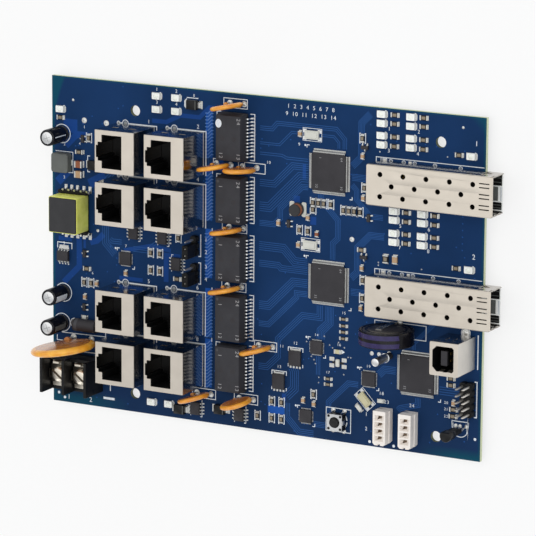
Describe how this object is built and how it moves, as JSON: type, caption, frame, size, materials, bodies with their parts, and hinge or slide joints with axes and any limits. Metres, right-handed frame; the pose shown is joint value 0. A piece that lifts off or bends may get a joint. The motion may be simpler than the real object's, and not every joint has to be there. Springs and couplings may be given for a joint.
{
  "type": "power over ethernet switch",
  "caption": "Bare power over ethernet switch board with upright shielded network jacks, fibre-module cages, isolation modules, a USB jack, a wire terminal and power parts.",
  "frame": {"origin": "centre of the four mounting holes, on the underside of the board", "axes": "+Z out of the component side, +X along the board towards the fibre-module cages' mouths, +Y across the board"},
  "size_m": [0.1863, 0.1245, 0.0297],
  "materials": {
    "solder_mask": "blue solder mask with white print",
    "jack_tin": "tinned sheet",
    "black_moulding": "moulded black",
    "contact_gold": "gold plated",
    "cage_sheet": "folded sheet",
    "cage_lid": "folded sheet",
    "module_epoxy": "moulded epoxy",
    "lead_tin": "tinned",
    "chip_epoxy": "moulded epoxy",
    "usb_sheet": "bright sheet",
    "terminal_moulding": "moulded black",
    "terminal_plate": "plated",
    "screw_steel": "plated",
    "varistor_coat": "dipped epoxy",
    "fuse_coat": "dipped epoxy",
    "coin_sleeve": "shrunk sleeve",
    "can_sleeve": "shrunk sleeve",
    "ferrite": "sintered ferrite",
    "yellow_tape": "polyester tape",
    "reset_sheet": "plated sheet",
    "button_moulding": "moulded black",
    "white_moulding": "moulded nylon",
    "pin_tin": "plated",
    "cap_moulding": "moulded black",
    "sensor_epoxy": "moulded epoxy",
    "crystal_can": "drawn metal",
    "lamp_white": "white moulding",
    "chip_ceramic": "ceramic"
  },
  "bodies": {
    "board": {"backup_capacitor": "coin_sleeve", "board": "solder_mask", "cage_base_1": "cage_sheet", "cage_base_2": "cage_sheet", "cage_connectors": "black_moulding", "cage_cover_1": "cage_lid", "cage_cover_2": "cage_lid", "capacitor_cans": "can_sleeve", "chip_parts": "chip_ceramic", "clamp_diode": "chip_epoxy", "crystals": "crystal_can", "fuse_discs": "fuse_coat", "header_bases": "black_moulding", "header_pins": "pin_tin", "inductors": "ferrite", "isolation_module_1": "module_epoxy", "isolation_module_2": "module_epoxy", "isolation_module_3": "module_epoxy", "isolation_module_4": "module_epoxy", "isolation_module_5": "module_epoxy", "jack_contacts": "contact_gold", "jack_insert_1": "black_moulding", "jack_insert_2": "black_moulding", "jack_insert_3": "black_moulding", "jack_insert_4": "black_moulding", "jack_insert_5": "black_moulding", "jack_insert_6": "black_moulding", "jack_insert_7": "black_moulding", "jack_insert_8": "black_moulding", "jack_shield_1": "jack_tin", "jack_shield_2": "jack_tin", "jack_shield_3": "jack_tin", "jack_shield_4": "jack_tin", "jack_shield_5": "jack_tin", "jack_shield_6": "jack_tin", "jack_shield_7": "jack_tin", "jack_shield_8": "jack_tin", "jumper_caps": "cap_moulding", "module_leads": "lead_tin", "quad_chips": "chip_epoxy", "reset_base": "black_moulding", "reset_plate": "reset_sheet", "sensor": "sensor_epoxy", "shield_tails": "lead_tin", "small_chips": "chip_epoxy", "status_lamps": "lamp_white", "terminal_block": "terminal_moulding", "terminal_contacts": "terminal_plate", "transformer_base": "black_moulding", "transformer_core": "ferrite", "transformer_tape": "yellow_tape", "usb_insert": "black_moulding", "usb_shell": "usb_sheet", "varistor": "varistor_coat", "wire_headers": "white_moulding"},
    "clamp_1": {"terminal_clamp_1": "terminal_plate"},
    "screw_1": {"terminal_screw_1": "screw_steel"},
    "clamp_2": {"terminal_clamp_2": "terminal_plate"},
    "screw_2": {"terminal_screw_2": "screw_steel"},
    "button": {"reset_button": "button_moulding"}
  },
  "joints": [
    {"name": "clamp_lift_1", "type": "slide", "parent": "board", "child": "clamp_1", "axis": [0, 0, 1], "range_m": [0, 0.0018]},
    {"name": "screw_turn_1", "type": "hinge", "parent": "clamp_1", "child": "screw_1", "pos_m": [-0.0912, -0.048, 0.0083], "axis": [0, 0, 1], "range_deg": [0, 1080]},
    {"name": "clamp_lift_2", "type": "slide", "parent": "board", "child": "clamp_2", "axis": [0, 0, 1], "range_m": [0, 0.0018]},
    {"name": "screw_turn_2", "type": "hinge", "parent": "clamp_2", "child": "screw_2", "pos_m": [-0.0817, -0.048, 0.0083], "axis": [0, 0, 1], "range_deg": [0, 1080]},
    {"name": "reset_press", "type": "slide", "parent": "board", "child": "button", "axis": [0, 0, -1], "range_m": [0, 0.00025], "stiffness_N_per_m": 400}
  ],
  "couplings": [
    {"joint": "screw_turn_1", "follows": "clamp_lift_1", "rad_per_m": 10472},
    {"joint": "screw_turn_2", "follows": "clamp_lift_2", "rad_per_m": 10472}
  ]
}
